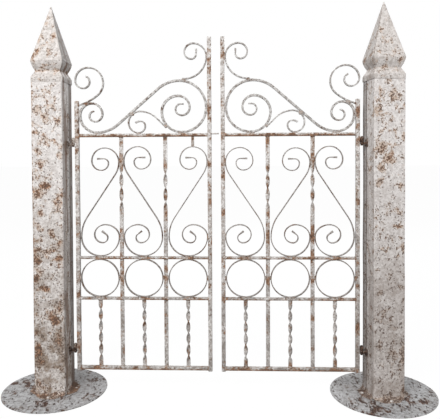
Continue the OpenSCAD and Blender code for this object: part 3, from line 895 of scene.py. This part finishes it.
def addShaft(side, post):
    half, inward, centre = post["half"], post["inward"], post["centre"]
    shaft = copyNode(side + "_post_shaft")
    corner = half * math.sqrt(2) - shaftSettings["foldInset"]
    found = selectEdges(
        shaft,
        lambda a, b: (a - b).length > shaftSettings["foldLength"]
        and all(math.hypot(p.x - centre.x, p.y - centre.y) > corner for p in (a, b)),
    )
    bpy.ops.mesh.bevel(
        offset=shaftSettings["foldRadius"], segments=shaftSettings["foldSegments"], profile=0.5)
    stopEditing()
    print(side, "post folds rounded:", found)
    roundEdges(shaft, shaftSettings)
    tones = innerWallDirtAndShade[side]
    lap = -half + shaftSettings["lapShare"] * 2 * half
    seamEnd = lap + tones["seamWidth"]
    beside = [-half + shaftSettings["besideFold"], half - shaftSettings["besideFold"]]
    beside += [lap - shaftSettings["beforeSeam"], seamEnd, seamEnd + shaftSettings["afterSeam"]]
    columns = int(2 * half / shaftSettings["columnSpacing"])
    beside += [-half + 2 * half * step / columns for step in range(1, columns)]
    beside += [-half - shaftSettings["pastWall"], half + shaftSettings["pastWall"]]
    cutAlongWalls(shaft, post, 1, beside)
    cutEvenly(shaft, 2, shaftSettings["rowSpacing"])

    local = [toPost(point.co, post) for point in shaft.data.vertices]
    walls = [(place, place.x * inward > half - shaftBands["inner"]) for place in local]
    setMark(shaft, "streaked", [streakedAt(place, inner, half, tones) for place, inner in walls])
    setMark(shaft, "seam", [
        seamAndShadeAt(place, inner, half, lap, seamEnd, tones) for place, inner in walls])
    spots = spotsInFront(frontSpots[side], half, shaftBands["spotDepth"], post)
    tabs = onFourSides(half + tabSettings["fromWall"], tabSettings["height"], post)
    spots += [(tab, tabSettings["reach"], tabSettings["wear"]) for tab in tabs]
    markWorn(shaft, spots)
    worn = shaft.data.attributes["worn"].data
    for place, mark in zip(local, worn):
        onFold = place.x * inward < shaftBands["outer"] - half
        if onFold and place.y < shaftBands["front"] - half:
            mark.value = max(mark.value, outerFoldWear[side])
    markRidges(shaft, shaftSettings["ridgeTurn"])
    addDrift(shaft, shaftSettings["driftShare"])
    tones = finishes["sheetPaint"] | shaftTones[side]
    paint = paintOver(side + "ShaftPaint", tones, finishSeed[side])
    finishPiece(shaft, side + "_post_shaft", paint)


capSettings = {
    "seed": 0.5,
    "edges": (0.0028, 3, 12),
    "rowSpacing": 0.014,
    "columns": 14,
    "neck": 0.056,  # above the foot, as is the next
    "flare": 0.104,
    "neckBand": 0.010,
    "tipWear": 0.5,
    "tipLength": 0.06,
    "innerBand": 0.001,
    "ridgeTurn": 30,
    "spotPlane": 0.55,  # of half the post's width
    "spotDepth": 0.08,
}
capTones = {"pale": (224, 218, 214), "dull": (190, 182, 176)}
neckWear = {"left": 0.5, "right": 0.4}
# Runs of dirt on the side of a cap that faces the leaves, and painted shade on that side,
# over and under its widest line
capSideDirtAndShade = {
    "left": {"streaks": 1.2, "over": 0.70, "under": 0.22},
    "right": {"streaks": 0.35, "over": 0.12, "under": 0.02},
}
# Spots on the front of a cap, in the same order
capSpots = {
    "left": [
        (-34, 1790, 24, 26, 0.8), (-60, 1761, 26, 34, 0.7), (27, 1798, 16, 26, 0.7),
        (5, 1724, 22, 22, 0.7), (-52, 1720, 26, 30, 0.6), (-70, 1699, 24, 26, 0.7),
        (44, 1699, 20, 20, 0.7), (-20, 1864, 16, 26, 0.7), (-20, 1610, 50, 16, 0.4),
    ],
    "right": [
        (40, 1610, 40, 24, 0.4), (-30, 1604, 30, 18, 0.4), (15, 1720, 20, 20, 0.4),
        (-30, 1800, 18, 24, 0.4),
    ],
}


def addCap(side, post):
    half, inward = post["half"], post["inward"]
    cap = copyNode(side + "_post_cap")
    low, high = cornersOf(cap)
    roundEdges(cap, capSettings)
    cutEvenly(cap, 2, capSettings["rowSpacing"])
    columns = capSettings["columns"]
    shares = [2 * column / columns - 1 for column in range(1, columns)]
    cutAlongWalls(cap, post, half, shares)
    neck = low.z + capSettings["neck"]
    flare = low.z + capSettings["flare"]
    spots = spotsInFront(
        capSpots[side], capSettings["spotPlane"] * half, capSettings["spotDepth"], post)
    markWorn(cap, spots)
    local = [toPost(point.co, post) for point in cap.data.vertices]
    worn = cap.data.attributes["worn"].data
    for place, mark in zip(local, worn):
        atNeck = neckWear[side] * (1 - abs(place.z - neck) / capSettings["neckBand"])
        atTip = capSettings["tipWear"] - (high.z - place.z) / capSettings["tipLength"]
        mark.value = max(mark.value, atNeck, atTip)
    tones = capSideDirtAndShade[side]
    facing = [place.x * inward > abs(place.y) + capSettings["innerBand"] for place in local]
    setMark(cap, "streaked", [tones["streaks"] if inner else 0.0 for inner in facing])
    # Painted shade on the side that faces the leaves, stronger above the widest line
    setMark(cap, "seam", [
        0.0 if not inner else tones["over" if place.z > flare else "under"]
        for inner, place in zip(facing, local)])
    markRidges(cap, capSettings["ridgeTurn"])
    seed = finishSeed[side] + capSettings["seed"]
    paint = paintOver(side + "CapPaint", finishes["sheetPaint"] | capTones, seed)
    finishPiece(cap, side + "_post_cap", paint)


plateSettings = {"seed": 0.8, "edges": (0.0012, 2, 50)}
rimSettings = {"start": 0.012, "full": 0.002, "wear": 0.02}
footShadowAndDirtSettings = {"aside": 0.05, "behind": 0.05, "reach": 0.21, "core": 0.11, "share": 0.34}


def distanceFrom(place, middle):
    flat = place.node("VectorMath", {"operation": "MULTIPLY"}, {0: place, 1: (1.0, 1.0, 0.0)})
    ends = {0: flat, 1: (middle.x, middle.y, 0.0)}
    return place.node("VectorMath", {"operation": "DISTANCE"}, ends, "Value")


# Rust round the rim of a plate
def rimWear(centre, radius, settings):
    start, full = radius - settings["start"], radius - settings["full"]
    return lambda place: distanceFrom(place, centre).step(start, full) * settings["wear"]


# Painted shadow of the post, with some dirt, on a plate behind the post on the side of the
# leaves
def footShadowAndDirt(centre, inward, settings):
    middle = centre + Vector((settings["aside"] * inward, settings["behind"], 0))
    reach, core = settings["reach"], settings["core"]
    return lambda place: distanceFrom(place, middle).step(reach, core) * settings["share"]


def addPlate(side, post):
    low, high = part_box(side + "_base_disc")
    rim = rimWear(post["centre"], (high.x - low.x) / 2, rimSettings)
    dirtAndShade = footShadowAndDirt(post["centre"], post["inward"], footShadowAndDirtSettings)
    plate = copyNode(side + "_base_disc")
    roundEdges(plate, plateSettings)
    seed = finishSeed[side] + plateSettings["seed"]
    paint = paintOver(side + "PlatePaint", finishes["platePaint"], seed, rim, dirtAndShade)
    finishPiece(plate, side + "_base_disc", paint)


boltSettings = {
    "seed": 0.7,
    "radius": 0.0078,
    "height": 0.0052,
    "sides": 20,
    "domeShare": 0.75,  # of the height
    "domeSegments": 4,
    "fromWall": 0.029,
    "tabTop": 0.007,
}
boltTones = {"pale": (232, 228, 224), "dull": (196, 188, 182), "low": 0.0}


def domedBolt(settings):
    height = settings["height"]
    bpy.ops.object.select_all(action="DESELECT")
    bpy.ops.mesh.primitive_cylinder_add(
        vertices=settings["sides"], radius=settings["radius"], depth=height, location=(0, 0, height / 2))
    bolt = bpy.context.object
    selectNone(bolt, "FACE")
    for face in bolt.data.polygons:
        face.select = face.normal.z > 0.9  # the top
    bpy.ops.object.mode_set(mode="EDIT")
    bpy.ops.mesh.bevel(
        offset=height * settings["domeShare"], segments=settings["domeSegments"], profile=0.5)
    stopEditing()
    bpy.ops.object.transform_apply(location=True, rotation=True, scale=True)
    return bolt


def addBolts(side, post):
    bolt = domedBolt(boltSettings)
    places = onFourSides(post["half"] + boltSettings["fromWall"], boltSettings["tabTop"], post)
    bolts = [placedCopy(bolt, Matrix.Translation(place)) for place in places]
    bpy.data.objects.remove(bolt)
    bolts = joinPieces(bolts, side + "TabBolts")
    smooth(bolts)
    seed = finishSeed[side] + boltSettings["seed"]
    paint = paintOver(side + "BoltPaint", finishes["sheetPaint"] | boltTones, seed)
    bolts.data.materials.append(paint)
    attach(bolts, "root")


for side in ("left", "right"):
    post = postFacts(side)
    addShaft(side, post)
    addCap(side, post)
    addPlate(side, post)
    addBolts(side, post)
print("stage: posts finished")

barSettings = {
    "edges": (0.0016, 2, 40),
    "edgeInset": 0.0042,
    "rowSpacing": 0.016,
    "ridgeTurn": 45,
    "lowerBand": 0.0045,
    "spotReach": (0.034, 0.05),  # across and in depth
}
lowerEdgeWearAndShade = {"top_rail": 1.5, "scroll_rail": 0.7, "ring_rail": 0.6, "bottom_rail": 1.1}


# Rust along the lower edge of a rail, which also paints the shade under the rail.
def markLowerEdge(piece, strength):
    low = cornersOf(piece)[0].z
    worn = piece.data.attributes["worn"].data
    for point, mark in zip(piece.data.vertices, worn):
        if point.co.z < low + barSettings["lowerBand"]:
            mark.value = max(mark.value, strength)


twistSettings = {
    "edges": (0.0011, 2, 60),
    "edgeInset": 0.0036,
    "thin": 0.01,  # bars under this thickness have the next inset
    "thinInset": 0.0022,
    "flatInset": 0.006,
    "longHalfTurn": 0.071,
    "shortHalfTurn": 0.058,
    "rows": 11,  # cuts of a bar, and again as many of each stretch between them
    "shortEdge": 0.01,  # upright edges up to this long are not cut
    "footBand": 0.0005,
    "barsApart": 0.05,
    "smoothAngle": 50,
}


def extrudedBar(size):
    bpy.ops.object.select_all(action="DESELECT")
    bpy.ops.mesh.primitive_cube_add(size=1, location=(0, 0, 0), scale=size)
    bar = bpy.context.object
    bpy.ops.object.transform_apply(location=False, rotation=False, scale=True)
    return bar


# A flat bar that is twisted by whole half turns between two heights, as its node is.
def twistedBar(points, halfTurn, settings, mirrored):
    levels = sorted({round(place.z, 4) for place in points})
    foot, twistFoot, twistHead, head = levels[0], levels[1], levels[-2], levels[-1]
    atFoot = [place for place in points if place.z < foot + settings["footBand"]]
    left, right = min(place.x for place in atFoot), max(place.x for place in atFoot)
    front, back = min(place.y for place in atFoot), max(place.y for place in atFoot)
    bar = extrudedBar((right - left, back - front, head - foot))
    roundEdges(bar, settings)
    cutBesideEdges(bar, 2, settings["edgeInset" if back - front > settings["thin"] else "thinInset"])
    low, high = cornersOf(bar)
    inset = Vector((settings["flatInset"], 0, 0))
    cutAcross(bar, Vector((1, 0, 0)), [Vector((0, 0, 0)), low + inset, high - inset])
    for again in range(2):
        selectEdges(bar, lambda a, b: abs(a.z - b.z) > settings["shortEdge"])
        bpy.ops.mesh.subdivide(number_cuts=settings["rows"])
        stopEditing()
    bar.data.transform(Matrix.Translation((0, 0, (foot + head) / 2 - twistFoot)))
    halfTurns = max(1, round((twistHead - twistFoot) / halfTurn))
    applyModifier(
        bar,
        "SIMPLE_DEFORM",
        deform_method="TWIST",
        deform_axis="Z",
        angle=-math.pi * halfTurns if mirrored else math.pi * halfTurns,
        limits=((twistFoot - foot) / (head - foot), (twistHead - foot) / (head - foot)),
    )
    bar.data.transform(Matrix.Translation(((left + right) / 2, (front + back) / 2, twistFoot)))
    return bar


def twistedBars(nodeName, halfTurn, settings, mirrored):
    points = frame["nodes"][nodeName].data.vertices
    places = sorted((point.co for point in points), key=lambda place: place.x)
    groups = [[places[0]]]
    for place in places[1:]:
        if place.x - groups[-1][-1].x > settings["barsApart"]:
            groups.append([])
        groups[-1].append(place)
    bars = [twistedBar(group, halfTurn, settings, mirrored) for group in groups]
    return joinPieces(bars, camel(nodeName))


straightNodes = ["hinge_stile", "free_stile", "top_rail", "scroll_rail", "ring_rail", "bottom_rail"]
twistedNodes = {"long_bars": "longHalfTurn", "short_bars": "shortHalfTurn"}
panelNodes = ["rings", "panel_scroll_1", "panel_scroll_2", "panel_scroll_3"]
stripNodes = panelNodes + ["crest_scroll", "small_scroll", "free_curl", "hinge_curl"]
stripSettings = {"edges": (0.0011, 2, 45)}


def shapedPieces(side):
    pieces = {}
    for name in straightNodes:
        along = 2 if "stile" in name else 0
        bar = copyNode(f"{side}_{name}")
        roundEdges(bar, barSettings)
        cutBesideEdges(bar, along, barSettings["edgeInset"])
        cutEvenly(bar, along, barSettings["rowSpacing"])
        pieces[name] = bar
    for name, halfTurn in twistedNodes.items():
        nodeName = f"{side}_{name}"
        pieces[name] = twistedBars(nodeName, twistSettings[halfTurn], twistSettings, side == "right")
    for name in stripNodes:
        strip = copyNode(f"{side}_{name}")
        roundEdges(strip, stripSettings)
        pieces[name] = strip
    print("stage:", side, "leaf shaped")
    return pieces


weldSettings = {
    "reach": 0.0025,
    "ringReach": 0.0038,
    "spread": 0.0022,
    "apart": 0.020,
    "smallest": (0.0072, 0.0145, 0.0072),
    "largest": (0.026, 0.024, 0.044),
    "corner": 0.16,  # of a lump's size
    "lumpSize": 0.007,
    "lumpStrength": 0.0028,
    "wornReach": 0.042,
    "wear": (0.05, 0.15, 0.3, 0.7),
}
trees = {}


def treeOf(piece):
    if piece.name not in trees:
        mesh = piece.data
        trees[piece.name] = BVHTree.FromPolygons(
            [point.co for point in mesh.vertices], [tuple(face.vertices) for face in mesh.polygons])
    return trees[piece.name]


# Spots where two pieces touch: each has its lowest and highest corner.
def meetings(first, second, settings, reach):
    lowA, highA = cornersOf(first)
    lowB, highB = cornersOf(second)
    for axis in range(3):
        if max(lowA[axis] - highB[axis], lowB[axis] - highA[axis]) > reach:
            return []
    spots = []
    for one, other in ((first, second), (second, first)):
        for point in one.data.vertices:
            near = treeOf(other).find_nearest(point.co, reach)[0]
            if near is None:
                continue
            middle = (near + point.co) / 2
            for spot in spots:
                if ((spot[0] + spot[1]) / 2 - middle).length < settings["apart"]:
                    spot[0] = Vector(map(min, spot[0], middle))
                    spot[1] = Vector(map(max, spot[1], middle))
                    break
            else:
                spots.append([middle.copy(), middle.copy()])
    return spots


def allMeetings(side, pieces):
    names = list(pieces)
    spots = []
    for index, name in enumerate(names):
        for other in names[index + 1:]:
            reach = weldSettings["ringReach" if "rings" in (name, other) else "reach"]
            spots += meetings(pieces[name], pieces[other], weldSettings, reach)
    print(side, "welds:", len(spots))
    return spots


# Lumps of weld, one at each spot, as one piece.
def weldLumps(spots, name, settings):
    bpy.ops.object.select_all(action="DESELECT")
    bpy.ops.mesh.primitive_cube_add(size=1, location=(0, 0, 0))
    lump = bpy.context.object
    editAll(lump)
    bpy.ops.mesh.bevel(offset=settings["corner"], segments=1)
    stopEditing()
    applyModifier(lump, "SUBSURF", levels=2, render_levels=2)
    lumps = []
    for low, high in spots:
        size = [length + 2 * settings["spread"] for length in high - low]
        size = map(min, map(max, size, settings["smallest"]), settings["largest"])
        matrix = Matrix.Translation((low + high) / 2) @ Matrix.Diagonal((*size, 1))
        lumps.append(placedCopy(lump, matrix))
    bpy.data.objects.remove(lump)
    welds = joinPieces(lumps, name)
    displace(welds, cloudTexture("weldLumps", settings["lumpSize"]), settings["lumpStrength"])
    return welds


# Rust along the uprights: which upright, height and reach up in millimetres, strength.
# Uprights are counted from the hinge stile, 0, to the free stile, 3.
uprightSpots = {
    "left": [
        (1, 1250, 75, 0.7), (1, 1165, 65, 1.3), (1, 1080, 30, 1.2), (1, 800, 45, 0.8),
        (2, 1282, 20, 1.3), (2, 1150, 45, 1.2), (2, 895, 50, 1.2), (2, 800, 50, 0.6), (2, 730, 45, 0.8),
        (2, 575, 35, 1.1), (2, 300, 60, 0.6), (1, 530, 70, 0.5), (3, 970, 55, 1.2), (3, 1390, 40, 0.8),
        (3, 1640, 50, 0.8), (3, 660, 50, 0.7), (0, 1330, 50, 0.9), (0, 1230, 40, 0.7),
        (0, 860, 30, 0.8), (0, 250, 60, 0.9),
    ],
    "right": [
        (1, 1272, 35, 1.1), (1, 1180, 30, 0.9), (1, 920, 30, 0.7), (1, 780, 45, 1.3),
        (2, 1130, 20, 1.1), (2, 910, 35, 0.9), (2, 790, 45, 0.7), (2, 560, 50, 0.6), (3, 1310, 50, 0.9),
        (3, 1090, 40, 0.7), (3, 900, 40, 0.8), (3, 470, 40, 0.7), (0, 1260, 60, 0.7),
        (0, 1000, 60, 0.6), (0, 720, 50, 0.6), (0, 350, 50, 0.6),
    ],
}


# Wear at the welds by chance, and along the uprights from the list
def wornOnLeaf(side, pieces, spots):
    reach = Vector((1, 1, 1)) * weldSettings["wornReach"]
    chance = random.Random(side)
    worn = [((low + high) / 2, reach, chance.choice(weldSettings["wear"])) for low, high in spots]
    first, last = (sum(cornersOf(pieces[name]), Vector()) / 2 for name in ("hinge_stile", "free_stile"))
    for upright, height, reachUp, strength in uprightSpots[side]:
        middle = first.lerp(last, upright / 3)
        reach = (*barSettings["spotReach"], reachUp / 1000)
        worn.append((Vector((middle.x, 0, height / 1000)), reach, strength))
    return worn


fittingSettings = {"edges": (0.0008, 2, 40)}
hingeWear = {"left": {"upper": 0.0, "lower": 0.9}, "right": {"upper": 0.7, "lower": 0.9}}


def addFitting(side, name, paint):
    fitting = copyNode(f"{side}_{name}")
    roundEdges(fitting, fittingSettings)
    low, high = cornersOf(fitting)
    reach = Vector((1, 1, (high.z - low.z) / 2))
    ends = ((low, "lower"), (high, "upper"))
    markWorn(fitting, [(place, reach, hingeWear[side][end]) for place, end in ends])
    finishPiece(fitting, f"{side}_{name}", paint)


leafSeed = 0.3
# The paints of a leaf: finish, and a further step of seed
leafPaints = {
    "BarPaint": ("barPaint", 0.0),
    "StripPaint": ("stripPaint", 0.1),
    "ScrollPaint": ("scrollPaint", 0.15),
    "Rust": ("bareRust", 0.2),
    "WeldPaint": ("weldPaint", 0.4),
}
for side in ("left", "right"):
    paints = {}
    for name, (finishName, step) in leafPaints.items():
        seed = finishSeed[side] + leafSeed + step
        paints[name] = paintOver(side + name, finishes[finishName], seed)
    pieces = shapedPieces(side)
    spots = allMeetings(side, pieces)
    welds = weldLumps(spots, side + "Welds", weldSettings)
    wornSpots = wornOnLeaf(side, pieces, spots)
    for name, piece in pieces.items():
        markRidges(piece, barSettings["ridgeTurn"])
        markWorn(piece, wornSpots)
        if name.endswith("rail"):
            markLowerEdge(piece, lowerEdgeWearAndShade[name])
        addDrift(piece)
        paint = paints["StripPaint" if name in stripNodes else "BarPaint"]
        if name in panelNodes:
            paint = paints["ScrollPaint"]
        if name in twistedNodes:
            finishPiece(piece, f"{side}_{name}", paint, twistSettings["smoothAngle"])
        else:
            finishPiece(piece, f"{side}_{name}", paint)
    addDrift(welds)
    activate(welds)
    bpy.ops.object.shade_smooth()
    welds.data.materials.append(paints["WeldPaint"])
    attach(welds, side + "_leaf")

    addFitting(side, "pintles", paints["Rust"])
    addFitting(side, "hinge_eyes", paints["Rust"])
    if side == "left":
        for name, paintName in (("left_top_stub", "WeldPaint"), ("left_latch_peg", "BarPaint")):
            small = copyNode(name)
            roundEdges(small, fittingSettings)
            addDrift(small)
            finishPiece(small, name, paints[paintName])
    print("stage:", side, "leaf finished")
